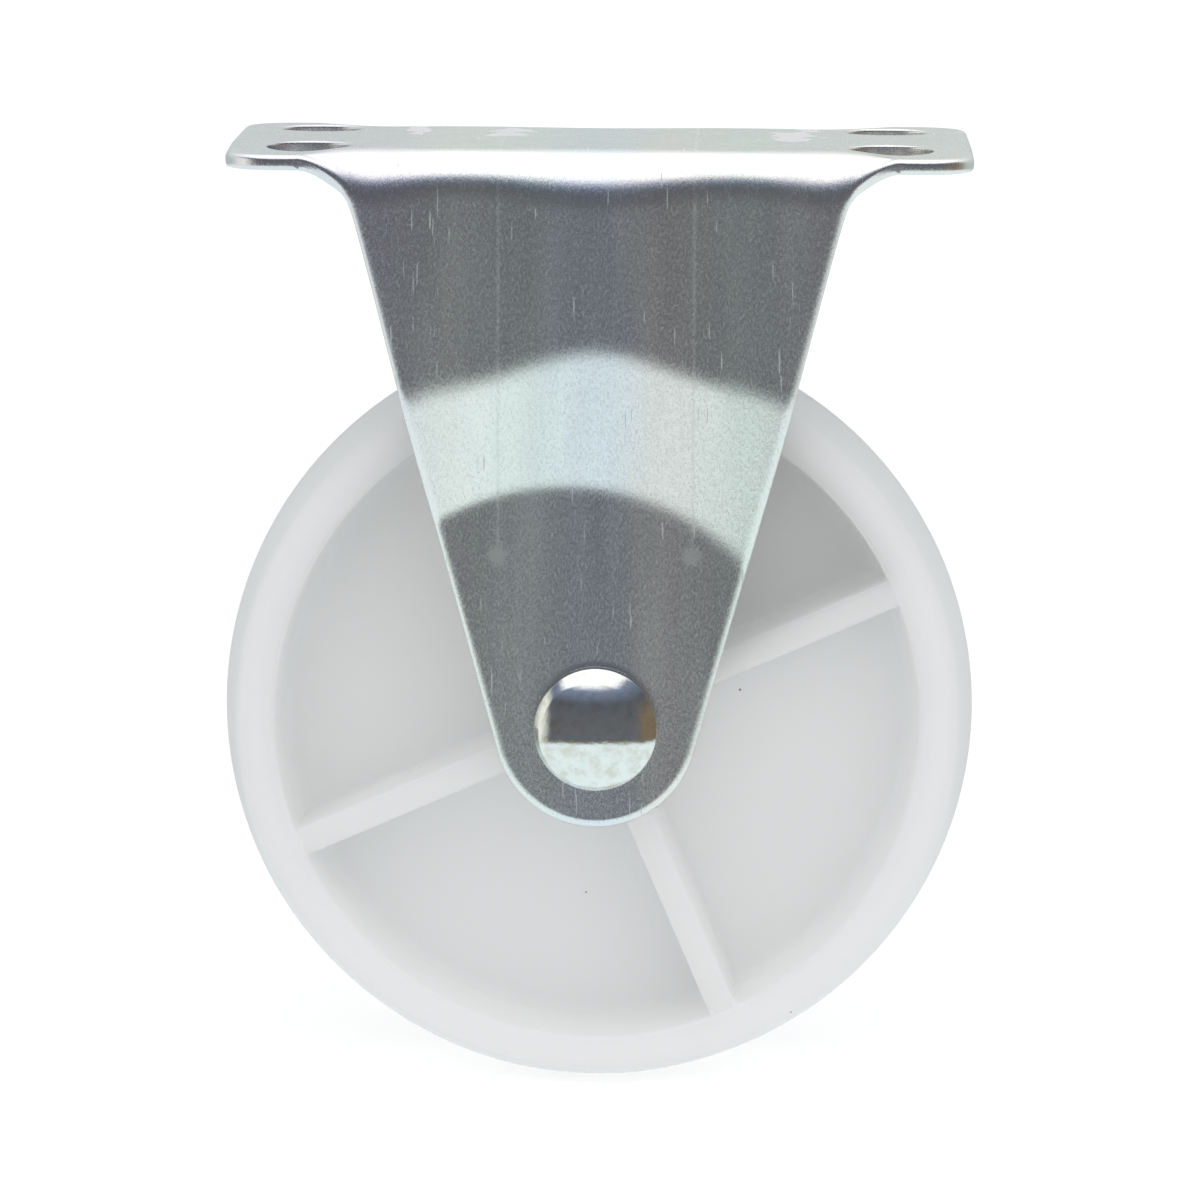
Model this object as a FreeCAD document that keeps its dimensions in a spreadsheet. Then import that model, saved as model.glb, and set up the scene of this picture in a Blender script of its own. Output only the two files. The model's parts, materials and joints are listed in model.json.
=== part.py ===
import FreeCAD, Part
import Sketcher
import math
import os
import re

# Fixed castor, 75 mm wheel. The origin is the centre of the plate's top face, +Z up.
# The wheel rolls along X and turns on an axle along Y. Lengths are in mm, angles in degrees.

SIZES = {
    # Pressed fork: plate, bends and legs
    "plate_length": 73.2,
    "fork_width": 38.0,
    "sheet": 1.5,
    "plate_corner_radius": 4.0,
    "bend_inner_radius": 4.0,
    "bend_fade_length": 9.5,
    "ear_outer_radius": 0.5,
    "ear_inner_radius": 0.3,
    "ear_length": 10.8,
    "root_fillet": 5.0,
    "tip_radius": 10.0,
    "wheel_clearance": 17.8,
    # Joggle that brings the legs in round the axle
    "joggle_depth": 2.2,
    "joggle_outer_radius": 37.2,
    "joggle_inner_radius": 22.8,
    "joggle_bend_radius": 12.0,
    "joggle_land": 1.5,
    # Screw holes in the plate
    "screw_hole_diameter": 8.5,
    "screw_end_distance": 8.1,
    "screw_side_distance": 8.0,
    # Rivet and the sleeve that it clamps between the legs
    "shank_diameter": 6.0,
    "shank_clearance": 0.1,
    "head_diameter": 12.1,
    "head_height": 4.0,
    "head_shoulder": 2.2,
    "tail_diameter": 11.0,
    "tail_height": 2.0,
    "tail_shoulder": 0.8,
    "sleeve_wall": 0.9,
    # Wheel
    "wheel_radius": 37.5,
    "wheel_width": 22.6,
    "crown_drop": 1.8,
    "crown_radius": 20.0,
    "tread_corner_radius": 2.0,
    "rim_thickness": 5.5,
    "rim_draft": 4.0,
    "rim_edge_radius": 0.4,
    "web_thickness": 3.0,
    "web_fillet": 1.5,
    "hub_radius": 9.0,
    "hub_draft": 1.0,
    "hub_edge_radius": 0.5,
    "hub_side_clearance": 0.3,
    "bore_clearance": 0.08,
    "rib_thickness": 2.7,
    "rib_draft": 1.5,
    "rib_recess": 0.4,
    "rib_angle": 23.5,
    # How far a cutting shape runs past the face that it opens
    "cut_margin": 5.0,
}

# Formulas over the sizes that several pieces share
HALF_FORK = "fork_width / 2"
LOWER_LEG_FACE = "(fork_width / 2 - joggle_depth)"
LOWER_LEG_INSIDE = "(fork_width / 2 - joggle_depth - sheet)"
LEG_LENGTH = "(wheel_clearance + wheel_radius)"
AXLE_DROP = f"(sheet + {LEG_LENGTH})"
# Each leg edge runs from its root on the plate to the round of the tip, which it touches.
LEG_ROOT = "(plate_length / 2 - ear_length)"
ROOT_TO_AXLE = f"sqrt({LEG_ROOT} * {LEG_ROOT} + {LEG_LENGTH} * {LEG_LENGTH})"
LEG_TAPER = f"(atan({LEG_ROOT} / {LEG_LENGTH}) - asin(tip_radius / {ROOT_TO_AXLE}))"
TIP_CORNER_DROP = f"({AXLE_DROP} + tip_radius / sin({LEG_TAPER}))"
SHANK_RADIUS = "shank_diameter / 2"
SHANK_HOLE_RADIUS = "(shank_diameter / 2 + shank_clearance)"
SLEEVE_RADIUS = f"({SHANK_HOLE_RADIUS} + sleeve_wall)"
BORE_RADIUS = f"({SLEEVE_RADIUS} + bore_clearance)"
RIM_INNER_RADIUS = "(wheel_radius - rim_thickness)"

doc = FreeCAD.newDocument("FixedCastor")
sheet = doc.addObject("Spreadsheet::Sheet", "Sizes")
for row, (alias, size) in enumerate(SIZES.items(), start=1):
    sheet.set(f"A{row}", alias.replace("_", " "))
    sheet.set(f"B{row}", str(size))
    sheet.setAlias(f"B{row}", alias)
doc.recompute()


def bound(formula):
    """The formula as an expression on the size sheet."""
    return re.sub(r"[a-z]\w*", lambda word: f"Sizes.{word[0]}" if word[0] in SIZES else word[0], formula)


def value(formula):
    """The number that a formula gives now."""
    return float(sheet.evalExpression(bound(formula)))


def make_body(name):
    body = doc.addObject("PartDesign::Body", name)
    body.Label = name
    return body


def make_sketch(body, name, plane, offset=None):
    """A sketch on one of the body's own origin planes. The offset is (x, y, z) formulas in sketch axes."""
    sketch = body.newObject("Sketcher::SketchObject", name)
    origin_plane = next(item for item in body.Origin.OriginFeatures if item.Role == plane)
    sketch.AttachmentSupport = [(origin_plane, "")]
    sketch.MapMode = "FlatFace"
    for axis, formula in zip("xyz", offset or ()):
        sketch.setExpression(f"AttachmentOffset.Base.{axis}", bound(formula))
    return sketch


def constrain(sketch, formula, kind, *where):
    """A dimension that the formula drives."""
    index = sketch.addConstraint(Sketcher.Constraint(kind, *where, value(formula)))
    sketch.setExpression(f"Constraints[{index}]", bound(formula))


def pin_point(sketch, geometry, position, x, y):
    """Holds a point of the sketch at (x, y). A zero puts it on the axis."""
    for formula, kind, axis in ((x, "DistanceX", -2), (y, "DistanceY", -1)):
        if formula == "0":
            sketch.addConstraint(Sketcher.Constraint("PointOnObject", geometry, position, axis))
        else:
            constrain(sketch, formula, kind, -1, 1, geometry, position)


def rounded_corner(before, corner, after, radius):
    """Start, end and centre of the arc that rounds a corner, and whether it turns left."""
    back = (before - corner).normalize()
    ahead = (after - corner).normalize()
    half_angle = back.getAngle(ahead) / 2
    run = radius / math.tan(half_angle)
    centre = corner + (back + ahead).normalize() * (radius / math.sin(half_angle))
    return corner + back * run, corner + ahead * run, centre, back.cross(ahead).z < 0


def draw_loop(sketch, corners):
    """One closed loop of lines. Each corner is (x, y) or (x, y, radius), all formulas.

    A rounded corner keeps its sharp point, as a construction point on both of its lines."""
    count = len(corners)
    points = [FreeCAD.Vector(value(corner[0]), value(corner[1]), 0) for corner in corners]
    rounds = {}
    for index, corner in enumerate(corners):
        if len(corner) == 3:
            rounds[index] = rounded_corner(points[index - 1], points[index], points[(index + 1) % count],
                                           value(corner[2]))
    lines = []
    for index in range(count):
        start = rounds[index][1] if index in rounds else points[index]
        following = (index + 1) % count
        end = rounds[following][0] if following in rounds else points[following]
        lines.append(sketch.addGeometry(Part.LineSegment(start, end), False))
    for index, corner in enumerate(corners):
        if index not in rounds:
            sketch.addConstraint(Sketcher.Constraint("Coincident", lines[index - 1], 2, lines[index], 1))
            pin_point(sketch, lines[index], 1, *corner)
            continue
        start, end, centre, left = rounds[index]
        first, last = (start, end) if left else (end, start)
        angles = [math.atan2(point.y - centre.y, point.x - centre.x) for point in (first, last)]
        circle = Part.Circle(centre, FreeCAD.Vector(0, 0, 1), (start - centre).Length)
        arc = sketch.addGeometry(Part.ArcOfCircle(circle, *angles), False)
        tangents = ((lines[index - 1], 2, arc, 1 if left else 2), (arc, 2 if left else 1, lines[index], 1))
        for tangent in tangents:
            sketch.addConstraint(Sketcher.Constraint("Tangent", *tangent))
        constrain(sketch, corner[2], "Radius", arc)
        sharp = sketch.addGeometry(Part.Point(points[index]), True)
        for line in (lines[index - 1], lines[index]):
            sketch.addConstraint(Sketcher.Constraint("PointOnObject", sharp, 1, line))
        pin_point(sketch, sharp, 1, corner[0], corner[1])


def draw_circle(sketch, centre, radius):
    place = FreeCAD.Vector(value(centre[0]), value(centre[1]), 0)
    circle = sketch.addGeometry(Part.Circle(place, FreeCAD.Vector(0, 0, 1), value(radius)), False)
    constrain(sketch, radius, "Radius", circle)
    pin_point(sketch, circle, 3, *centre)


def draw_line(sketch, start, end):
    ends = [FreeCAD.Vector(value(x), value(y), 0) for x, y in (start, end)]
    return sketch.addGeometry(Part.LineSegment(*ends), False)


def add_feature(body, kind, name, profile, **settings):
    """A PartDesign feature. Text settings are formulas, the rest are set as they are."""
    feature = body.newObject(f"PartDesign::{kind}", name)
    feature.Profile = profile
    for prop, setting in settings.items():
        if isinstance(setting, str) and prop not in ("Type", "SideType"):
            feature.setExpression(prop, bound(setting))
        else:
            setattr(feature, prop, setting)
    return feature


def cut_through(body, name, profile):
    """A pocket through everything on both sides of its sketch."""
    return add_feature(body, "Pocket", name, profile, Type="ThroughAll", SideType="Symmetric")


def turn(body, name, profile):
    """A full turn of the sketch about its H axis."""
    return add_feature(body, "Revolution", name, profile, ReferenceAxis=(profile, ["H_Axis"]), Angle=360)


def edges_where(feature, test):
    """Names of the feature's edges that pass the test."""
    return [f"Edge{number}" for number, edge in enumerate(feature.Shape.Edges, start=1) if test(edge)]


def is_upright(edge):
    return isinstance(edge.Curve, Part.Line) and abs(edge.Curve.Direction.z) > 0.999


# The fork is one sheet: a flat plate with two ears, and two legs folded down from its long edges.

def bend_stations():
    """Places along X, and how far the full bend has grown there: 0 at the ears, 1 in the middle."""
    fade = [(share, share * share * (3 - 2 * share)) for share in (0, 0.25, 0.5, 0.75, 1)]
    # The bend has faded out where the fillet at the leg's root meets the ear.
    outer = f"({LEG_ROOT} + root_fillet * tan((90 deg - {LEG_TAPER}) / 2))"
    stations = [("-(plate_length / 2 + cut_margin)", 0)]
    stations += [(f"-{outer} + {share} * bend_fade_length", grown) for share, grown in fade]
    stations += [(f"{outer} - {share} * bend_fade_length", grown) for share, grown in reversed(fade)]
    return stations + [("plate_length / 2 + cut_margin", 0)]


def loft_along_plate(body, name, corners_at):
    """Cuts a shape whose section changes along X, from the section's corners at each station."""
    sections = []
    for number, (place, grown) in enumerate(bend_stations(), start=1):
        sketch = make_sketch(body, f"{name}Section{number}", "YZ_Plane", ("0", "0", place))
        draw_loop(sketch, corners_at(grown))
        sections.append(sketch)
    return add_feature(body, "SubtractiveLoft", name, sections[0], Sections=sections[1:], Ruled=True)


def cavity_corners(grown):
    """Section of the space between the legs, with the bend's inner radius in its upper corners."""
    radius = f"ear_inner_radius + {grown} * (bend_inner_radius - ear_inner_radius)"
    side = "fork_width / 2 - sheet"
    floor = f"-({AXLE_DROP} + joggle_outer_radius + cut_margin)"
    return [(f"-({side})", floor), (side, floor), (side, "-sheet", radius),
            (f"-({side})", "-sheet", radius)]


def bend_corners(grown, side):
    """Section of what the bend leaves of the square upper corner: the corner itself, less a round."""
    radius = f"(ear_outer_radius + {grown} * (bend_inner_radius + sheet - ear_outer_radius))"
    sign = "" if side > 0 else "-"
    face = f"{sign}{HALF_FORK}"
    outside = f"{sign}(fork_width / 2 + cut_margin)"
    inboard = f"{sign}(fork_width / 2 - {radius} - joggle_land)"
    below = f"-({radius} + joggle_land)"
    return [(inboard, "0"), (face, "0", radius), (face, below), (outside, below), (outside, "cut_margin"),
            (inboard, "cut_margin")]


def joggled_sheet(sign):
    """Section of one leg round the axle: flat near the axle, sloping out to the upper leg."""
    outer = f"{sign}{HALF_FORK}"
    inner = f"{sign}({HALF_FORK} - sheet)"
    low_outer = f"{sign}{LOWER_LEG_FACE}"
    low_inner = f"{sign}{LOWER_LEG_INSIDE}"
    reach = "(joggle_outer_radius + joggle_land)"
    return [(low_outer, "0"), (low_outer, "joggle_inner_radius", "joggle_bend_radius"),
            (outer, "joggle_outer_radius", "joggle_bend_radius"), (outer, reach), (inner, reach),
            (inner, "joggle_outer_radius", "joggle_bend_radius"),
            (low_inner, "joggle_inner_radius", "joggle_bend_radius"), (low_inner, "0")]


def make_fork():
    body = make_body("fork_housing")
    half_plate = "plate_length / 2"
    depth = f"-({AXLE_DROP} + tip_radius)"
    axle_line = ("0", f"-{AXLE_DROP}", "0")

    block = make_sketch(body, "BlockSketch", "XZ_Plane")
    draw_loop(block, [(f"-{half_plate}", "0"), (half_plate, "0"), (half_plate, depth),
                      (f"-{half_plate}", depth)])
    add_feature(body, "Pad", "Block", block, SideType="Symmetric", Length="fork_width")

    loft_along_plate(body, "Cavity", cavity_corners)

    # The flat legs stop short of the axle, and the joggled sheet takes their place there.
    disc = make_sketch(body, "LegDiscSketch", "XZ_Plane", axle_line)
    draw_circle(disc, ("0", "0"), "joggle_outer_radius + joggle_land")
    cut_through(body, "LegDisc", disc)
    for side, sign in (("Front", "-"), ("Back", "")):
        section = make_sketch(body, f"{side}JoggleSketch", "YZ_Plane", axle_line)
        draw_loop(section, joggled_sheet(sign))
        turn(body, f"{side}Joggle", section)

    # Everything outside the front outline goes: below the ears and beside the tapered legs.
    beyond = "(plate_length / 2 + joggle_outer_radius + cut_margin)"
    bottom = f"-({AXLE_DROP} + joggle_outer_radius + 2 * cut_margin)"
    outline = make_sketch(body, "OutlineSketch", "XZ_Plane")
    draw_loop(outline, [(f"-{beyond}", "-sheet"), (f"-{LEG_ROOT}", "-sheet", "root_fillet"),
                        ("0", f"-{TIP_CORNER_DROP}", "tip_radius"), (LEG_ROOT, "-sheet", "root_fillet"),
                        (beyond, "-sheet"), (beyond, bottom), (f"-{beyond}", bottom)])
    trimmed = cut_through(body, "Outline", outline)
    doc.recompute()

    corners = body.newObject("PartDesign::Fillet", "PlateCorners")
    corners.Base = (trimmed, edges_where(trimmed, is_upright))
    corners.setExpression("Radius", bound("plate_corner_radius"))

    for name, side in (("FrontBend", -1), ("BackBend", 1)):
        loft_along_plate(body, name, lambda grown: bend_corners(grown, side))

    holes = make_sketch(body, "ScrewHoleSketch", "XY_Plane")
    for x_sign in ("-", ""):
        for y_sign in ("-", ""):
            place = (f"{x_sign}(plate_length / 2 - screw_end_distance)",
                     f"{y_sign}(fork_width / 2 - screw_side_distance)")
            draw_circle(holes, place, "screw_hole_diameter / 2")
    cut_through(body, "ScrewHoles", holes)

    axle_hole = make_sketch(body, "AxleHoleSketch", "XZ_Plane", axle_line)
    draw_circle(axle_hole, ("0", "0"), SHANK_HOLE_RADIUS)
    cut_through(body, "AxleHoles", axle_hole)
    return body


def put_on_axle(body):
    """Moves a piece that was drawn about its own origin onto the axle."""
    body.setExpression("Placement.Base.z", bound(f"-{AXLE_DROP}"))


def make_wheel():
    body = make_body("wheel")
    half_rim = "wheel_width / 2"
    half_web = "web_thickness / 2"
    half_hub = f"({LOWER_LEG_INSIDE} - hub_side_clearance)"
    rim_root = f"({RIM_INNER_RADIUS} - (wheel_width - web_thickness) / 2 * tan(rim_draft * 1 deg))"
    hub_root = f"(hub_radius + ({half_hub} - web_thickness / 2) * tan(hub_draft * 1 deg))"
    shoulder = "(wheel_radius - crown_drop)"

    one_side = [(half_hub, BORE_RADIUS), (half_hub, "hub_radius", "hub_edge_radius"),
                (half_web, hub_root, "web_fillet"), (half_web, rim_root, "web_fillet"),
                (half_rim, RIM_INNER_RADIUS, "rim_edge_radius"),
                (half_rim, shoulder, "tread_corner_radius")]
    other_side = [(f"-{corner[0]}", *corner[1:]) for corner in reversed(one_side)]
    # The crown's two slopes meet in a large round, which brings the tread to the wheel's radius.
    slope = "atan(crown_drop / (wheel_width / 2))"
    peak = f"wheel_radius + crown_radius * (1 / cos({slope}) - 1)"
    section = make_sketch(body, "WheelSection", "YZ_Plane")
    draw_loop(section, one_side + [("0", peak, "crown_radius")] + other_side)
    turn(body, "Moulding", section)

    rib_reach = "(wheel_width / 2 - rib_recess)"
    half_rib = f"(rib_thickness / 2 + {rib_reach} * tan(rib_draft * 1 deg))"
    inner_end = f"(hub_radius + {BORE_RADIUS}) / 2"
    outer_end = f"{RIM_INNER_RADIUS} + ({shoulder} - {RIM_INNER_RADIUS}) / 3"
    rib_sketch = make_sketch(body, "RibSketch", "XZ_Plane")
    draw_loop(rib_sketch, [(inner_end, f"-{half_rib}"), (outer_end, f"-{half_rib}"), (outer_end, half_rib),
                           (inner_end, half_rib)])
    rib = add_feature(body, "Pad", "Rib", rib_sketch, SideType="Two sides", Length=rib_reach,
                      Length2=rib_reach, TaperAngle="-rib_draft", TaperAngle2="-rib_draft")
    ribs = body.newObject("PartDesign::PolarPattern", "Ribs")
    ribs.Originals = [rib]
    ribs.Axis = (next(item for item in body.Origin.OriginFeatures if item.Role == "Y_Axis"), [""])
    ribs.Angle = 360
    ribs.Occurrences = 4
    body.Tip = ribs

    put_on_axle(body)
    body.Placement.Rotation = FreeCAD.Rotation(FreeCAD.Vector(0, 1, 0), 0)
    body.setExpression("Placement.Rotation.Angle", bound("-rib_angle * 1 deg"))
    return body


def draw_rivet_end(sketch, end, sign):
    """Half section of one rivet end: flat underside on the leg, short wall, dome down to the axis.

    Gives the underside line, the dome and which end of the dome lies on the axis."""
    edge = f"{end}_diameter / 2"
    rise = f"({end}_height - {end}_shoulder)"
    sphere = f"({edge} * {edge} + {rise} * {rise}) / (2 * {rise})"
    centre_place = f"{sign}({LOWER_LEG_FACE} + {end}_height - {sphere})"
    wall_top = f"{sign}({LOWER_LEG_FACE} + {end}_shoulder)"
    seat = f"{sign}{LOWER_LEG_FACE}"

    centre = FreeCAD.Vector(value(centre_place), 0, 0)
    rim_angle = math.atan2(value(edge), value(wall_top) - centre.x)
    angles = sorted((rim_angle, math.pi if sign else 0.0))
    rim, apex = (1, 2) if sign else (2, 1)
    circle = Part.Circle(centre, FreeCAD.Vector(0, 0, 1), value(sphere))
    dome = sketch.addGeometry(Part.ArcOfCircle(circle, *angles), False)
    wall = draw_line(sketch, (wall_top, edge), (seat, edge))
    underside = draw_line(sketch, (seat, edge), (seat, SHANK_RADIUS))
    pin_point(sketch, dome, 3, centre_place, "0")
    pin_point(sketch, dome, rim, wall_top, edge)
    sketch.addConstraint(Sketcher.Constraint("PointOnObject", dome, apex, -1))
    sketch.addConstraint(Sketcher.Constraint("Coincident", dome, rim, wall, 1))
    sketch.addConstraint(Sketcher.Constraint("Coincident", wall, 2, underside, 1))
    pin_point(sketch, underside, 1, seat, edge)
    pin_point(sketch, underside, 2, seat, SHANK_RADIUS)
    return underside, dome, apex


def make_rivet():
    body = make_body("axle_rivet")
    section = make_sketch(body, "RivetSection", "YZ_Plane")
    ends = [draw_rivet_end(section, "head", "-"), draw_rivet_end(section, "tail", "")]
    shank = draw_line(section, (f"-{LOWER_LEG_FACE}", SHANK_RADIUS), (LOWER_LEG_FACE, SHANK_RADIUS))
    axis = draw_line(section, (f"-({LOWER_LEG_FACE} + head_height)", "0"),
                     (f"{LOWER_LEG_FACE} + tail_height", "0"))
    for position, (underside, dome, apex) in enumerate(ends, start=1):
        section.addConstraint(Sketcher.Constraint("Coincident", underside, 2, shank, position))
        section.addConstraint(Sketcher.Constraint("Coincident", dome, apex, axis, position))
    turn(body, "Rivet", section)
    put_on_axle(body)
    return body


def make_sleeve():
    body = make_body("axle_sleeve")
    section = make_sketch(body, "SleeveSection", "YZ_Plane")
    draw_loop(section, [(f"-{LOWER_LEG_INSIDE}", SHANK_HOLE_RADIUS), (LOWER_LEG_INSIDE, SHANK_HOLE_RADIUS),
                        (LOWER_LEG_INSIDE, SLEEVE_RADIUS), (f"-{LOWER_LEG_INSIDE}", SLEEVE_RADIUS)])
    turn(body, "Sleeve", section)
    put_on_axle(body)
    return body


pieces = [make_fork(), make_wheel(), make_rivet(), make_sleeve()]
doc.recompute()

for item in doc.Objects:
    if {"Invalid", "Error"} & set(item.State):
        raise RuntimeError(f"{item.Label} did not build: {item.State}")
for piece in pieces:
    if piece.Shape.isNull() or not piece.Shape.isValid() or len(piece.Shape.Solids) != 1:
        raise RuntimeError(f"{piece.Label} is not one sound solid")

os.makedirs("parts", exist_ok=True)
for piece in pieces:
    piece.Shape.exportStep(f"parts/{piece.Label}.step")
    print(piece.Label, "volume", round(piece.Shape.Volume, 1), "mm3")
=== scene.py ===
import json
import math

import bmesh
import bpy
import numpy as np
from mathutils import Matrix, Vector


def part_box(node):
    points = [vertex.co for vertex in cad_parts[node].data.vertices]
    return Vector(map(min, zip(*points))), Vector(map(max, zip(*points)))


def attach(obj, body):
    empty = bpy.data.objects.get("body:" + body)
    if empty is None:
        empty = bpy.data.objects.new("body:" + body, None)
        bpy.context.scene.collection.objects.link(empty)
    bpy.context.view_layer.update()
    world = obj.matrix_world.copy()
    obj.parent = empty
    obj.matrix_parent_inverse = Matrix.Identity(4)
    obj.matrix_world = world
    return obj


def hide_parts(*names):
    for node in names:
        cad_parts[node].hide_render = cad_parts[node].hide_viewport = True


# Fixed castor: pressed zinc-plated fork, moulded white wheel, riveted axle.
# Shapes are worked out in millimetres about the frame's own origin and turned to metres in the mesh.

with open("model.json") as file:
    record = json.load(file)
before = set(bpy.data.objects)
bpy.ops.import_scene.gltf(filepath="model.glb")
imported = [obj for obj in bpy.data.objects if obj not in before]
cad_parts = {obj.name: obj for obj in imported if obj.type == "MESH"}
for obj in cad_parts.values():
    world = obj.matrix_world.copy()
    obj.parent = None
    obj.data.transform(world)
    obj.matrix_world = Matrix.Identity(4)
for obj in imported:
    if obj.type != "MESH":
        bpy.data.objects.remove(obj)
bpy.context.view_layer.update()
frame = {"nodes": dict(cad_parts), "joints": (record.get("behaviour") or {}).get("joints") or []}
print("frame loaded:", ", ".join(frame["nodes"]))

forkLow, forkHigh = (np.array(corner) * 1000 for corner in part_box("fork_housing"))
wheelLow, wheelHigh = (np.array(corner) * 1000 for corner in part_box("wheel"))
rivetLow, rivetHigh = (np.array(corner) * 1000 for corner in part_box("axle_rivet"))
axle = np.array(frame["joints"][0]["pos_m"]) * 1000  # the wheel turns on this line along Y


# Shared helpers

def hexToLinear(code):
    channels = [int(code[i:i + 2], 16) / 255 for i in (1, 3, 5)]
    return [c / 12.92 if c <= 0.04045 else ((c + 0.055) / 1.055) ** 2.4 for c in channels] + [1.0]


def smoothStep(value):
    # 0 below 0, 1 above 1, 3t^2 - 2t^3 between
    value = np.clip(value, 0, 1)
    return value * value * (3 - 2 * value)


def gridFaces(rows, columns, closeRows=False, closeColumns=False):
    # quads between neighbouring rows and columns; a closed direction joins its last to its first
    i = np.arange(rows if closeRows else rows - 1)[:, None]
    j = np.arange(columns if closeColumns else columns - 1)[None, :]
    below, beside = (i + 1) % rows, (j + 1) % columns
    corners = [i * columns + j, i * columns + beside, below * columns + beside, below * columns + j]
    return np.stack([np.broadcast_to(c, (i.size, j.size)) for c in corners], -1).reshape(-1, 4)


def makePiece(name, points, faces, smoothAngle=35):
    # points in millimetres; doubles at poles and seams are merged, then every face is turned outwards
    mesh = bpy.data.meshes.new(name)
    mesh.from_pydata(np.asarray(points, float).reshape(-1, 3) / 1000, [], faces)
    piece = bpy.data.objects.new(name, mesh)
    bpy.context.scene.collection.objects.link(piece)
    tidyMesh(piece, smoothAngle)
    return piece


def tidyMesh(piece, smoothAngle):
    work = bmesh.new()
    work.from_mesh(piece.data)
    bmesh.ops.remove_doubles(work, verts=work.verts, dist=2e-7)
    bmesh.ops.dissolve_degenerate(work, edges=work.edges, dist=1e-8)
    bmesh.ops.recalc_face_normals(work, faces=work.faces)
    work.to_mesh(piece.data)
    work.free()
    piece.data.shade_smooth()
    piece.data.set_sharp_from_angle(angle=math.radians(smoothAngle))


def combine(piece, tools, operation, smoothAngle=35):
    # cuts or joins closed shapes, keeps the result as the piece's own mesh and removes the tools
    for tool in tools:
        step = piece.modifiers.new(operation.lower(), "BOOLEAN")
        step.operation, step.solver, step.object = operation, "EXACT", tool
    depsgraph = bpy.context.evaluated_depsgraph_get()
    result = bpy.data.meshes.new_from_object(piece.evaluated_get(depsgraph))
    piece.modifiers.clear()
    piece.data = result
    for tool in tools:
        bpy.data.objects.remove(tool)
    tidyMesh(piece, smoothAngle)


def roundedProfile(corners, steps=8):
    # open line through (along, radius, round) corners; each round is an arc tangent to both its sides
    points = [np.array(corners[0][:2], float)]
    for before, corner, after in zip(corners, corners[1:], corners[2:]):
        here = np.array(corner[:2], float)
        back = np.array(before[:2], float) - here
        ahead = np.array(after[:2], float) - here
        back, ahead = back / np.linalg.norm(back), ahead / np.linalg.norm(ahead)
        if not corner[2]:
            points.append(here)
            continue
        half = math.acos(np.clip(back @ ahead, -1, 1)) / 2
        centre = here + (back + ahead) / np.linalg.norm(back + ahead) * corner[2] / math.sin(half)
        start = here + back * corner[2] / math.tan(half) - centre
        turn = (math.pi - 2 * half) * (1 if np.cross(start, ahead) > 0 else -1)
        angle = math.atan2(start[1], start[0]) + np.linspace(0, turn, steps + 1)
        points.extend(centre + corner[2] * np.stack([np.cos(angle), np.sin(angle)], -1))
    points.append(np.array(corners[-1][:2], float))
    return np.array(points)


def revolve(profile, segments, closed):
    # (y, r) turned about the axle: x = r cos a, z = r sin a, from half a step round on
    angle = (np.arange(segments)[:, None] + 0.5) * 2 * math.pi / segments
    y, r = profile[:, 0][None, :], profile[:, 1][None, :]
    points = np.stack([r * np.cos(angle), y + 0 * angle, r * np.sin(angle)], -1) + axle
    return points, gridFaces(segments, profile.shape[0], True, closed)


def addNode(tree, kind, inputs=None, **settings):
    # a node with its settings; an input is a value or the socket that feeds it
    node = tree.nodes.new(kind)
    for key, setting in settings.items():
        setattr(node, key, setting)
    for key, source in (inputs or {}).items():
        if isinstance(source, bpy.types.NodeSocket):
            tree.links.new(source, node.inputs[key])
        else:
            node.inputs[key].default_value = source
    return node


def setRamp(node, stops, interpolation="LINEAR"):
    # stops are (place, colour)
    ramp = node.color_ramp
    ramp.interpolation = interpolation
    while len(ramp.elements) < len(stops):
        ramp.elements.new(0.5)
    for element, (place, colour) in zip(ramp.elements, stops):
        element.position = place
        element.color = colour
    return node


def newMaterial(name):
    material = bpy.data.materials.new(name)
    material.use_nodes = True
    tree = material.node_tree
    return material, tree, tree.nodes["Principled BSDF"]


# Fork: one pressed sheet, plate and two legs

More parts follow.
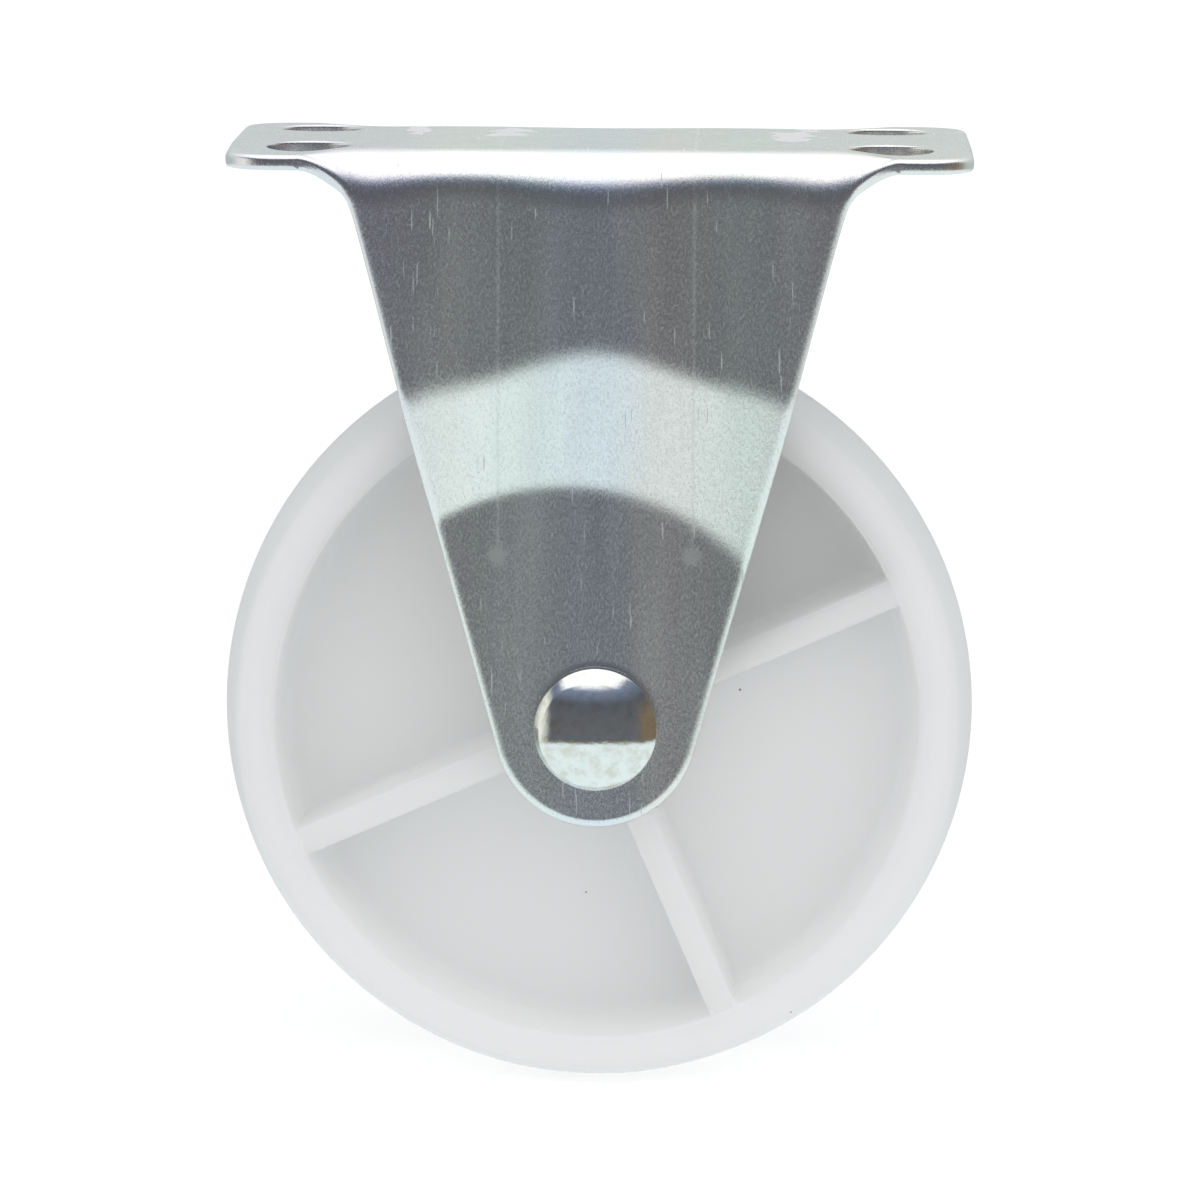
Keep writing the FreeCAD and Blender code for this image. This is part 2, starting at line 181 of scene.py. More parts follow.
fork = {
    "sheet": 1.5,
    "cornerRadius": 5.0,
    "bendRadius": 5.0,       # outer radius of the fold between plate and leg
    "bendFade": 9.5,         # the fold flattens into each ear over this length
    "bendFadePower": 1.25,
    "bendEnd": 30.6,         # and is gone this far from the middle
    "bendWave": 0.13,        # it is wider and tighter by turns along the plate
    "bendWaveLength": 26.0,
    "earLength": 10.8,
    "rootFillet": 5.0,
    "tipRadius": 10.0,
    "joggleDepth": 2.2,
    "joggleOuter": 36.7,     # the joggle's slope lies between these distances from the axle
    "joggleInner": 23.6,
    "joggleSkew": 0.13,      # pressed a little askew: its inner edge nears the axle to the right
    "joggleRipple": 0.6,     # and its outer edge springs back in a shallow wave
    "rippleLength": 20.0,
    "joggleRound": 14.0,
    "joggleCrisp": (3.0, 14.0),  # its inner round at the leg's left and right
    "crispPlaces": (-14, 16),
    "rollOver": 0.8,         # the punch draws the outer edge round before it shears
    "rollDrop": 0.7,         # how deep the round is, as a share of its width
    "shearDepth": 0.68,      # the sheared wall ends at this share of the sheet
    "wallLean": 0.05,
    "burrRound": (0.22, 0.2),
    "waist": 0.5,            # the fold draws the leg's edges in near the root
    "waistGrows": 8.0,
    "waistFades": (5.0, 30.0),
    "earDroop": 0.5,         # the front ears hang a little
    "droopAlong": (23.0, 7.0),   # start and run of the droop from the middle outwards
    "droopAcross": (4.0, 15.0),  # and from the middle to the front
    "droopDepth": 8.0,       # the legs below this stay as they are
    "holeRadius": 4.25,
    "holeEnd": 8.1,
    "holeSide": 8.0,
    "holeRound": 0.3,
    "shankHole": 3.1,
    "shankRound": 0.1,
    "columns": 104,
    "columnCrowd": 0.92,
    # first row, then the last one of the plate's side, the corner, the ear, the fillet and the upper leg,
    # and where the first five of them cross the blank's middle
    "rowMarks": (0, 12, 21, 27, 45, 70),
    "rowMiddles": (0, 12.6, 15.6, 17.4, 23.2),
    "rowBow": 2.6,
    "wallTurnRows": 22,
}
plateHalf, halfWidth = forkHigh[0], forkHigh[1]
legLength = -axle[2] - fork["sheet"]
legRoot = plateHalf - fork["earLength"]
legTaper = math.atan(legRoot / legLength) - math.asin(fork["tipRadius"] / math.hypot(legRoot, legLength))


def blankEdge(inset):
    # right edge of the flat blank from the plate's middle to the leg's tip, as (x, s): s is the distance
    # from the middle over the plate, and halfWidth plus the depth on the leg. Inset moves it inwards.
    # The fork's rowMarks name the ends of its runs.
    corner, fillet, tip = fork["cornerRadius"], fork["rootFillet"], fork["tipRadius"]
    slope = math.tan(legTaper)
    meeting = legRoot + fork["sheet"] * slope  # where the leg's edge line meets the ear's edge
    filletStart = meeting + fillet * math.tan((math.pi / 2 - legTaper) / 2)
    tipCentre = halfWidth - axle[2]
    side = np.stack([np.full(13, plateHalf - inset), np.linspace(0, halfWidth - corner, 13)], -1)
    a = np.linspace(0, math.pi / 2, 10)[1:]
    cornerArc = np.stack([plateHalf - corner + (corner - inset) * np.cos(a),
                          halfWidth - corner + (corner - inset) * np.sin(a)], -1)
    ear = np.stack([np.linspace(plateHalf - corner, filletStart, 7)[1:], np.full(6, halfWidth - inset)], -1)
    a = np.linspace(math.pi / 2, legTaper, 19)[1:]
    filletArc = np.stack([filletStart - (fillet + inset) * np.cos(a),
                          halfWidth + fillet - (fillet + inset) * np.sin(a)], -1)
    a = np.linspace(-legTaper, -math.pi / 2, 25)
    tipArc = np.stack([(tip - inset) * np.cos(a), tipCentre - (tip - inset) * np.sin(a)], -1)
    share = np.linspace(0, 1, 96)[1:-1, None]
    edge = filletArc[-1] * (1 - share) + tipArc[0] * share
    outline = np.concatenate([side, cornerArc, ear, filletArc, edge, tipArc])
    depth = outline[:, 1] - halfWidth
    fadeStart, fadeRun = fork["waistFades"]
    grown = smoothStep((depth + inset) / fork["waistGrows"])
    faded = smoothStep((depth - fadeStart) / fadeRun)
    outline[:, 0] -= fork["waist"] * grown * (1 - faded)
    return outline


def joggle(radius, x):
    # how far the leg is pressed in at this distance from the axle: two flats joined by a slope with
    # round corners, each an arc tangent to its neighbours
    depth = fork["joggleDepth"]
    outer = fork["joggleOuter"] + fork["joggleRipple"] * np.cos(2 * math.pi * x / fork["rippleLength"])
    inner = fork["joggleInner"] - fork["joggleSkew"] * x
    slope = np.arctan(depth / (outer - inner))
    outerRound, innerRound = fork["joggleRound"], np.interp(x, fork["crispPlaces"], fork["joggleCrisp"])
    outerRun, innerRun = (bend * np.tan(slope / 2) for bend in (outerRound, innerRound))
    fromOuter = np.clip(outer + outerRun - radius, 0, outerRound * np.sin(slope))
    fromInner = np.clip(radius - inner + innerRun, 0, innerRound * np.sin(slope))
    upper = outerRound - np.sqrt(outerRound ** 2 - fromOuter ** 2)
    lower = depth - innerRound + np.sqrt(innerRound ** 2 - fromInner ** 2)
    ramp = (outer - radius) * np.tan(slope)
    pressed = np.where(fromOuter < outerRound * np.sin(slope), upper, ramp)
    return np.where(fromInner < innerRound * np.sin(slope), lower, pressed)


def foldSheet(x, s):
    # outer face of the sheet over the blank: flat, then a quarter round of radius R(x), then straight down.
    # On the round s = |y| + |z|, so its angle is 45 deg + asin((s - halfWidth) / (R sqrt 2)), which is kept
    # a hair inside the ends of asin.
    share = np.clip((fork["bendEnd"] - np.abs(x)) / fork["bendFade"], 0, 1)
    wave = 1 + fork["bendWave"] * np.cos(2 * math.pi * x / fork["bendWaveLength"])
    bend = fork["bendRadius"] * wave * np.sin(share * math.pi / 2) ** fork["bendFadePower"] + 1e-6
    past = s - halfWidth
    angle = math.pi / 4 + np.arcsin(np.clip(past / (bend * math.sqrt(2)), -1, 1) * 0.99999)
    angle = np.where(past <= -bend, 0, np.where(past >= bend, math.pi / 2, angle))
    y = np.where(past <= -bend, s, halfWidth - bend + bend * np.sin(angle))
    z = np.where(past >= bend, -past, -(bend - bend * np.cos(angle)))
    radius = np.hypot(x - axle[0], z - axle[2])
    onLeg = past > 0
    y = y - np.where(onLeg, joggle(radius, x), 0)
    return np.stack([x, -y, z], -1)


def forkHalf():
    # rows run across the blank from edge to edge and bow towards the ears; returns their x and s
    edge = blankEdge(fork["rollOver"])
    rows = len(edge)
    across = np.linspace(-1, 1, fork["columns"])
    across = np.sign(across) * np.abs(across) ** fork["columnCrowd"]
    marks = [*fork["rowMarks"], rows - 1]
    upperLeg = fork["rowMarks"][-1]
    middle = np.interp(np.arange(rows), marks, [*fork["rowMiddles"], edge[upperLeg, 1], edge[-1, 1]])
    middle[upperLeg:] = edge[upperLeg:, 1]
    middle = np.minimum(middle, edge[:, 1])
    x = across[None, :] * edge[:, 0][:, None]
    s = middle[:, None] + (edge[:, 1] - middle)[:, None] * np.abs(across[None, :]) ** fork["rowBow"]
    return x, s


def forkLoops():
    # each row becomes a closed loop round the sheet: outer face, punched edge, inner face, punched edge
    x, s = forkHalf()
    step = 0.01
    points = foldSheet(x, s)
    downBlank = foldSheet(x, s + step) - foldSheet(x, s - step)
    acrossBlank = foldSheet(x + step, s) - foldSheet(x - step, s)
    normal = np.cross(downBlank, acrossBlank)
    normal /= np.linalg.norm(normal, axis=-1, keepdims=True)
    # edge profile as (out, up) from the last face point: round, sheared wall, small burr side
    roll, sheet = fork["rollOver"], fork["sheet"]
    a = np.linspace(0, math.pi / 2, 7)[1:]
    burrOut, burrUp = fork["burrRound"]
    profile = np.concatenate([np.stack([roll * np.sin(a), roll * fork["rollDrop"] * (np.cos(a) - 1)], -1),
                              [[roll, -fork["shearDepth"] * sheet],
                               [roll - fork["wallLean"], -sheet + burrUp],
                               [roll - burrOut, -sheet]]])
    # the punched wall stands upright along the ear and turns with the sheet down the root's fillet
    earEnd = fork["rowMarks"][3]
    turn = smoothStep((np.arange(len(points)) - earEnd) / fork["wallTurnRows"])[:, None]
    sides = []
    for column, sign in ((-1, 1), (0, -1)):
        upright = turn * normal[:, column] + (1 - turn) * np.array([0, 0, 1])
        upright /= np.linalg.norm(upright, axis=-1, keepdims=True)
        along = np.gradient(points[:, column], axis=0)
        along[-1] = [-sign, 0, 0]
        along /= np.linalg.norm(along, axis=-1, keepdims=True)
        out = np.cross(along, upright) * -sign
        out /= np.linalg.norm(out, axis=-1, keepdims=True)
        sides.append(points[:, column, None] + profile[None, :, :1] * out[:, None]
                     + profile[None, :, 1:] * upright[:, None])
    inner = points - normal * sheet
    loops = np.concatenate([points, sides[0], inner[:, ::-1], sides[1][:, ::-1]], 1)
    loops[..., 1] = np.maximum(loops[..., 1], -halfWidth)  # nothing stands in front of the leg's face
    return loops


cutter = {
    "sides": 72,
    "beyond": 3,             # mm that it goes on above the surface it opens
    "below": 4,              # mm that it reaches under the plate's top
    "through": 25,           # mm that it reaches either way from the middle for the axle's holes
}


def roundedHoleTool(name, place, direction, radius, top, bottom, flare):
    # cutter for a punched hole: a straight bore that opens by a quarter round at its top
    a = np.linspace(0, math.pi / 2, 7)
    rim = np.stack([top - flare + flare * np.sin(a), radius + flare - flare * np.cos(a)], -1)
    end = top + cutter["beyond"]
    profile = np.concatenate([[[bottom, 0], [bottom, radius]], rim, [[end, radius + flare], [end, 0]]])
    angle = np.linspace(0, 2 * math.pi, cutter["sides"], endpoint=False)[:, None]
    h, r = profile[:, 0][None, :], profile[:, 1][None, :]
    flat = np.stack([r * np.cos(angle), r * np.sin(angle), h + 0 * angle], -1)
    if direction == "Y":
        flat = flat[..., [0, 2, 1]]
    return makePiece(name, flat + np.array(place), gridFaces(cutter["sides"], profile.shape[0], True))


def makeFork():
    # the back half mirrors the front one, and both share the row along the plate's middle
    front = forkLoops()
    back = front[1:] * [1, -1, 1]
    loops = np.concatenate([front[::-1], back])
    (alongStart, alongRun), (acrossStart, acrossRun) = fork["droopAlong"], fork["droopAcross"]
    hang = smoothStep((np.abs(loops[..., 0]) - alongStart) / alongRun)
    hang = hang * smoothStep((-loops[..., 1] - acrossStart) / acrossRun)
    loops[..., 2] -= fork["earDroop"] * np.where(loops[..., 2] > -fork["droopDepth"], hang, 0)
    faces = gridFaces(loops.shape[0], loops.shape[1], False, True)
    piece = makePiece("forkPressing", loops, faces)
    tools = []
    for xSign in (-1, 1):
        for ySign in (-1, 1):
            place = [xSign * (plateHalf - fork["holeEnd"]), ySign * (halfWidth - fork["holeSide"]), 0]
            tools.append(roundedHoleTool("holeTool", place, "Z", fork["holeRadius"], 0, -cutter["below"],
                                         fork["holeRound"]))
    tools.append(roundedHoleTool("shankTool", [axle[0], 0, axle[2]], "Y", fork["shankHole"],
                                 cutter["through"], -cutter["through"], fork["shankRound"]))
    combine(piece, tools, "DIFFERENCE")
    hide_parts("fork_housing")
    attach(piece, "fork")
    print("fork pressed:", len(piece.data.polygons), "faces")
    return piece


# Wheel: one moulding with a crowned tread, a web and four ribs a side

wheel = {
    "radius": 37.5,
    "webHalf": 1.5,
    "crownDrop": 1.8,
    "crownRound": 20.0,
    "treadCorner": 2.2,
    "rimThickness": 5.5,
    "rimDraft": 4.0,
    "rimEdge": 0.45,
    "webFillet": 1.5,
    "rimHalf": 11.3,
    "hubEnd": 8.9,           # the hub's radius at its end and, drafted, at the web
    "hubRoot": 9.24,
    "hubEdge": 0.5,
    "boreRadius": 4.08,
    "boreEdge": 0.2,
    "ribTop": 1.35,          # half of the rib's width at its outer face
    "ribDraft": 1.5,
    "ribRecess": 0.4,
    "ribEdge": 0.35,
    "ribRoot": 0.6,
    "ribSink": 0.05,         # the rib's foot lies this deep in the web
    "ribLift": 0.02,
    "ribAngle": 23.5,
    "ribStart": 6.5,         # it starts inside the hub
    "ribInto": 1.2,          # and ends this deep in the rim
    "ribSteps": 24,
    "pinRadius": 0.7,        # the mark of an ejector pin on one rib
    "pinPlace": 23.5,
    "pinDepth": 0.12,
    "pinEdge": 0.01,
    "segments": 224,
    "sharpAngle": 30,        # degrees from which an edge shows sharp
}


def makeWheel():
    hubHalf = wheelHigh[1]
    rimHalf, web, bore = wheel["rimHalf"], wheel["webHalf"], wheel["boreRadius"]
    rimInner = wheel["radius"] - wheel["rimThickness"]
    rimRoot = rimInner - (rimHalf - web) * math.tan(math.radians(wheel["rimDraft"]))
    shoulder = wheel["radius"] - wheel["crownDrop"]
    slope = math.atan(wheel["crownDrop"] / rimHalf)
    peak = wheel["radius"] + wheel["crownRound"] * (1 / math.cos(slope) - 1)
    side = [(hubHalf, wheel["hubEnd"], wheel["hubEdge"]), (web, wheel["hubRoot"], wheel["webFillet"]),
            (web, rimRoot, wheel["webFillet"]), (rimHalf, rimInner, wheel["rimEdge"]),
            (rimHalf, shoulder, wheel["treadCorner"])]
    mirrored = [(-y, r, rounding) for y, r, rounding in reversed(side)]
    mouth = (bore, wheel["boreEdge"])
    corners = [(0, bore, 0), (hubHalf, *mouth), *side, (0, peak, wheel["crownRound"]), *mirrored,
               (-hubHalf, *mouth), (0, bore, 0)]
    profile = roundedProfile(corners, 9)[:-1]
    points, faces = revolve(profile, wheel["segments"], True)
    piece = makePiece("wheelMoulding", points, faces)

    # rib section (d, y): flared root at the web, drafted wall, rounded top, the same on the back
    top = rimHalf - wheel["ribRecess"]
    rootHalf = wheel["ribTop"] + (top - web) * math.tan(math.radians(wheel["ribDraft"]))
    quarter = [(rootHalf + wheel["ribRoot"], web - wheel["ribSink"], 0),
               (rootHalf, web + wheel["ribLift"], wheel["ribRoot"]),
               (wheel["ribTop"], top, wheel["ribEdge"]), (0, top, 0)]
    line = roundedProfile(quarter, 6)
    half = np.concatenate([line, (line * [-1, 1])[::-1][1:]])
    section = np.concatenate([half, (half * [1, -1])[::-1]])
    reach = np.linspace(wheel["ribStart"], rimInner + wheel["ribInto"], wheel["ribSteps"])
    tools = []
    for quarterTurn in range(4):
        a = math.radians(wheel["ribAngle"] + 90 * quarterTurn)
        along = np.array([math.cos(a), 0, math.sin(a)])
        sideways = np.array([-math.sin(a), 0, math.cos(a)])
        points = (reach[:, None, None] * along + section[None, :, :1] * sideways
                  + section[None, :, 1:] * np.array([0, 1, 0]) + axle)
        count = section.shape[0]
        faces = gridFaces(len(reach), count, False, True).tolist()
        faces += [list(range(count)), list(range((len(reach) - 1) * count, len(reach) * count))]
        tools.append(makePiece(f"ribTool{quarterTurn}", points, faces))
    combine(piece, tools, "UNION", wheel["sharpAngle"])

    # a shallow round print where an ejector pin pushed the moulding out
    a = math.radians(wheel["ribAngle"] + 180)
    pin = axle + wheel["pinPlace"] * np.array([math.cos(a), 0, math.sin(a)])
    outermost = -top - cutter["beyond"]
    mark = roundedHoleTool("pinTool", pin, "Y", wheel["pinRadius"], outermost + wheel["pinDepth"],
                           outermost - 0.1, wheel["pinEdge"])
    combine(piece, [mark], "DIFFERENCE", wheel["sharpAngle"])
    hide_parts("wheel")
    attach(piece, "wheel")
    print("wheel moulded:", len(piece.data.polygons), "faces")
    return piece


# Rivet: upset head on the front leg, formed tail on the back one

rivet = {
    "seat": 16.8,            # distance of each leg's outer face from the middle
    "seatRound": 0.12,
    "headRadius": 6.05,
    "ringRadius": 5.2,       # a faint ring parts the dome from the rounded shoulder
    "headWall": 2.45,
    "shoulderDrop": 0.95,
    "shoulderRound": 0.22,
    "shank": 3.0,
    "tailRadius": 5.5,
    "tailRim": 0.8,
    "tailRounds": (0.1, 0.3),    # at the leg and at the dome
    "leanX": 0.35,           # the dome was upset a little to the left and down
    "leanZ": 0.3,
    "leanFrom": 0.5,         # it leans from this far in front of the seat
    "segments": 144,
}


def makeRivet():
    # a profile turned about the axle; each dome is part of a sphere through its rim and its tip
    seat = rivet["seat"]
    frontTip, backTip = -rivetLow[1], rivetHigh[1]
    ringPlace = seat + rivet["headWall"]
    rise = frontTip - ringPlace
    sphere = (rivet["ringRadius"] ** 2 + rise ** 2) / (2 * rise)
    a = np.linspace(0, math.asin(rivet["ringRadius"] / sphere), 24)
    dome = np.stack([-(frontTip - sphere + sphere * np.cos(a)), sphere * np.sin(a)], -1)
    wall = roundedProfile([(dome[-1][0], dome[-1][1], 0),
                           (rivet["shoulderDrop"] - ringPlace, rivet["headRadius"], rivet["shoulderRound"]),
                           (-seat, rivet["headRadius"], rivet["seatRound"]),
                           (-seat, rivet["shank"], 0)], 8)
    tailSeat = seat + rivet["tailRim"]
    tailRise = backTip - tailSeat
    tailSphere = (rivet["tailRadius"] ** 2 + tailRise ** 2) / (2 * tailRise)
    a = np.linspace(math.asin(rivet["tailRadius"] / tailSphere), 0, 16)
    tailDome = np.stack([backTip - tailSphere + tailSphere * np.cos(a), tailSphere * np.sin(a)], -1)
    legRound, domeRound = rivet["tailRounds"]
    tailWall = roundedProfile([(seat, rivet["shank"], 0), (seat, rivet["tailRadius"], legRound),
                               (tailSeat, rivet["tailRadius"], domeRound), (*tailDome[1], 0)], 5)
    profile = np.concatenate([dome, wall[1:], tailWall, tailDome[2:]])
    points, faces = revolve(profile, rivet["segments"], False)
    radius = np.hypot(points[..., 0] - axle[0], points[..., 2] - axle[2])
    lean = np.clip((rivet["headRadius"] - radius) / (rivet["headRadius"] - rivet["ringRadius"]), 0, 1)
    lean = np.where(points[..., 1] < -seat - rivet["leanFrom"], lean, 0)
    points[..., 0] -= rivet["leanX"] * lean
    points[..., 2] -= rivet["leanZ"] * lean
    piece = makePiece("rivetTurned", points, faces, 28)
    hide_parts("axle_rivet")
    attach(piece, "fork")
    print("rivet set:", len(piece.data.polygons), "faces")
    return piece


# Finishes

zinc = {
    "grainMm": 0.2,          # the plating's pitted grain, drawn coarser than it is so that it shows
    "grainTurn": 38,         # degrees from upright that the grain leans
    "grainStretch": 0.45,
    "grainRough": 0.4,
    "grainDepthMm": 0.05,
    "pits": (0.45, 0.7),     # the noise's heights at which a pit starts and is full
    "streakMm": 5.0,         # width of the more and less polished streaks down the legs
    "streakStretch": 0.12,
    "streakRough": (0.12, 0.24),
    "tints": ["#dfdde2", "#e9e9e6", "#e4e8e5", "#dfe3ea", "#e9e5e2", "#e3e7e3", "#e6e4e3"],
    "tintHalfMm": 25.0,      # the tints run from edge to edge of the leg
    "tintSwayMm": 4.0,       # and their borders wander by this
    "scratchMm": 0.3,        # hairlines too are drawn wider than they are
    "scratchTurns": (64, -22),
    "scratchCrest": (0.755, 0.78),
    "scratchRough": 0.55,
    "dieLines": (-9.7, 9.4),  # mm from the middle, where the joggle die's slides rubbed
    "dieLineMm": (0.25, 0.05),
    "dieDepth": -39.8,
    "dimpleMm": (1.3, 0.6),
    "lineStrength": 0.5,
    "dimpleStrength": 0.6,
    "dieRub": 0.45,
    # x, y and half sizes of each scrap of tape, mm
    "residue": [(-18.5, 9.0, 1.3, 9.0), (-9.5, 6.0, 2.6, 7.0), (19.5, 4.0, 2.6, 9.0)],
    "tearMm": 3.846,         # size of the bites in the tape's torn edge
    "tearBite": 3.0,
    "paperEdge": 2.3,
    "paperRough": 0.8,
}


def dieMarks(tree, parts):
    # how rubbed the sheet is: two faint lines down the leg, each stopping at a round dimple
    lines = 0.0
    lineOuter, lineInner = (mm / 1000 for mm in zinc["dieLineMm"])
    dimpleOuter, dimpleInner = (mm / 1000 for mm in zinc["dimpleMm"])
    depth = zinc["dieDepth"] / 1000
    for x in zinc["dieLines"]:
        across = addNode(tree, "ShaderNodeMath", {0: parts.outputs["X"], 1: x / 1000},
                         operation="SUBTRACT")
        away = addNode(tree, "ShaderNodeMath", {0: across.outputs[0]}, operation="ABSOLUTE")
        line = addNode(tree, "ShaderNodeMapRange", {"Value": away.outputs[0], "From Min": lineOuter,
                                                    "From Max": lineInner,
                                                    "To Max": zinc["lineStrength"]})
        above = addNode(tree, "ShaderNodeMath", {0: parts.outputs["Z"], 1: depth},
                        operation="GREATER_THAN")
        cut = addNode(tree, "ShaderNodeMath", {0: line.outputs["Result"], 1: above.outputs[0]},
                      operation="MULTIPLY")
        below = addNode(tree, "ShaderNodeMath", {0: parts.outputs["Z"], 1: depth}, operation="SUBTRACT")
        far = addNode(tree, "ShaderNodeCombineXYZ", {"X": across.outputs[0], "Z": below.outputs[0]})
        distance = addNode(tree, "ShaderNodeVectorMath", {0: far.outputs[0]}, operation="LENGTH")
        dimple = addNode(tree, "ShaderNodeMapRange", {"Value": distance.outputs["Value"],
                                                      "From Min": dimpleOuter, "From Max": dimpleInner,
                                                      "To Max": zinc["dimpleStrength"]})
        both = addNode(tree, "ShaderNodeMath", {0: cut.outputs[0], 1: dimple.outputs["Result"]},
                       operation="MAXIMUM")
        lines = addNode(tree, "ShaderNodeMath", {0: both.outputs[0], 1: lines},
                        operation="MAXIMUM").outputs[0]
    return lines


def residueMask(tree, place, parts):
    # torn remains of paper tape on the plate: ellipses with a ragged, noise-bitten edge
    ragged = addNode(tree, "ShaderNodeTexNoise", {"Vector": place, "Scale": 1000 / zinc["tearMm"],
                                                  "Detail": 1.5})
    mask = 0.0
    for x, y, halfX, halfY in zinc["residue"]:
        local = addNode(tree, "ShaderNodeMapping", {"Vector": place,
                                                    "Location": (-x / halfX, -y / halfY, 0),
                                                    "Scale": (1000 / halfX, 1000 / halfY, 1000)})
        distance = addNode(tree, "ShaderNodeVectorMath", {0: local.outputs[0]}, operation="LENGTH")
        torn = addNode(tree, "ShaderNodeMath", {0: ragged.outputs["Fac"], 1: zinc["tearBite"],
                                                2: distance.outputs["Value"]}, operation="MULTIPLY_ADD")
        patch = addNode(tree, "ShaderNodeMath", {0: torn.outputs[0], 1: zinc["paperEdge"]},
                        operation="LESS_THAN")
        mask = addNode(tree, "ShaderNodeMath", {0: patch.outputs[0], 1: mask},
                       operation="MAXIMUM").outputs[0]
    onTop = addNode(tree, "ShaderNodeMath", {0: parts.outputs["Z"], 1: -0.0005}, operation="GREATER_THAN")
    return addNode(tree, "ShaderNodeMath", {0: mask, 1: onTop.outputs[0]}, operation="MULTIPLY").outputs[0]


def zincPlate():
    # Bright zinc electroplate over pressed cold-rolled steel. It mirrors, but fine pits scatter the light
    # to a grey sparkle, and faint blue, brown and green passivate tints and scratches run down the legs.
    material, tree, shader = newMaterial("zincElectroplateOnPressedSteel")
    place = addNode(tree, "ShaderNodeTexCoord").outputs["Object"]
    parts = addNode(tree, "ShaderNodeSeparateXYZ", {"Vector": place})
    turned = addNode(tree, "ShaderNodeMapping", {"Vector": place,
                                                 "Rotation": (0, math.radians(zinc["grainTurn"]), 0),
                                                 "Scale": (1.0, 1.0, zinc["grainStretch"])})
    grain = addNode(tree, "ShaderNodeTexNoise", {"Vector": turned.outputs[0],
                                                 "Scale": 1000 / zinc["grainMm"], "Detail": 4.0,
                                                 "Roughness": 0.8})
    pitStart, pitFull = zinc["pits"]
    pits = addNode(tree, "ShaderNodeMapRange", {"Value": grain.outputs["Fac"], "From Min": pitStart,
                                                "From Max": pitFull})
    tall = addNode(tree, "ShaderNodeMapping", {"Vector": place, "Scale": (1.0, 1.0, zinc["streakStretch"])})
    streaks = addNode(tree, "ShaderNodeTexNoise", {"Vector": tall.outputs[0],
                                                   "Scale": 1000 / zinc["streakMm"], "Detail": 4.0,
                                                   "Roughness": 0.6})
    low, high = zinc["streakRough"]
    polish = addNode(tree, "ShaderNodeMapRange", {"Value": streaks.outputs["Fac"], "From Min": 0.3,
                                                  "From Max": 0.7, "To Min": low, "To Max": high})
    roughness = addNode(tree, "ShaderNodeMix", {"Factor": pits.outputs["Result"],
                                                "A": polish.outputs["Result"], "B": zinc["grainRough"]})

    # hairline scratches: the thin crests of a noise drawn out along two directions
    scratches = 0.0
    crestStart, crestFull = zinc["scratchCrest"]
    for degrees in zinc["scratchTurns"]:
        drawn = addNode(tree, "ShaderNodeMapping", {"Vector": place, "Scale": (1.0, 0.1, 0.06),
                                                    "Rotation": (0, math.radians(degrees), 0)})
        hair = addNode(tree, "ShaderNodeTexNoise", {"Vector": drawn.outputs[0],
                                                    "Scale": 1000 / zinc["scratchMm"], "Detail": 1.0})
        crest = addNode(tree, "ShaderNodeMapRange", {"Value": hair.outputs["Fac"], "From Min": crestStart,
                                                     "From Max": crestFull})
        scratches = addNode(tree, "ShaderNodeMath", {0: crest.outputs["Result"], 1: scratches},
                            operation="MAXIMUM").outputs[0]
    rubbed = addNode(tree, "ShaderNodeMath", {0: dieMarks(tree, parts), 1: zinc["dieRub"]},
                     operation="MULTIPLY")
    worn = addNode(tree, "ShaderNodeMath", {0: scratches, 1: rubbed.outputs[0]}, operation="MAXIMUM")
    marked = addNode(tree, "ShaderNodeMix", {"Factor": worn.outputs[0], "A": roughness.outputs["Result"],
                                             "B": zinc["scratchRough"]})

    # passivate tints side by side across the leg, their borders swaying with the streaks
    swayBy = zinc["tintSwayMm"] / 1000
    sway = addNode(tree, "ShaderNodeMath", {0: streaks.outputs["Fac"], 1: 2 * swayBy, 2: -swayBy},
                   operation="MULTIPLY_ADD")
    swayed = addNode(tree, "ShaderNodeMath", {0: parts.outputs["X"], 1: sway.outputs[0]}, operation="ADD")
    half = zinc["tintHalfMm"] / 1000
    across = addNode(tree, "ShaderNodeMapRange", {"Value": swayed.outputs[0], "From Min": -half,
                                                  "From Max": half})
    count = len(zinc["tints"])
    tint = setRamp(addNode(tree, "ShaderNodeValToRGB", {"Fac": across.outputs["Result"]}),
                   [((i + 0.5) / count, hexToLinear(code)) for i, code in enumerate(zinc["tints"])], "EASE")
    bump = addNode(tree, "ShaderNodeBump", {"Height": grain.outputs["Fac"], "Strength": 0.4,
                                            "Distance": zinc["grainDepthMm"] / 1000})

    # matt white paper where the tape is left
    paper = residueMask(tree, place, parts)
    colour = addNode(tree, "ShaderNodeMix", {0: paper, 6: tint.outputs["Color"], 7: hexToLinear("#ffffff")},
                     data_type="RGBA")
    dulled = addNode(tree, "ShaderNodeMix", {0: paper, 2: marked.outputs["Result"], 3: zinc["paperRough"]})
    metallic = addNode(tree, "ShaderNodeMix", {0: paper, 2: 1.0, 3: 0.0})
    tree.links.new(colour.outputs[2], shader.inputs["Base Color"])
    tree.links.new(dulled.outputs[0], shader.inputs["Roughness"])
    tree.links.new(metallic.outputs[0], shader.inputs["Metallic"])
    tree.links.new(bump.outputs["Normal"], shader.inputs["Normal"])
    return material


plating = {
    "stainMm": 1.111,        # size of the stains and of the shallow dents
    "dentMm": 0.05,
    "stains": [(0.34, "#d5d2ca"), (0.5, "#e0e2e0"), (0.62, "#e5e8e6")],
    "roughness": 0.1,
}


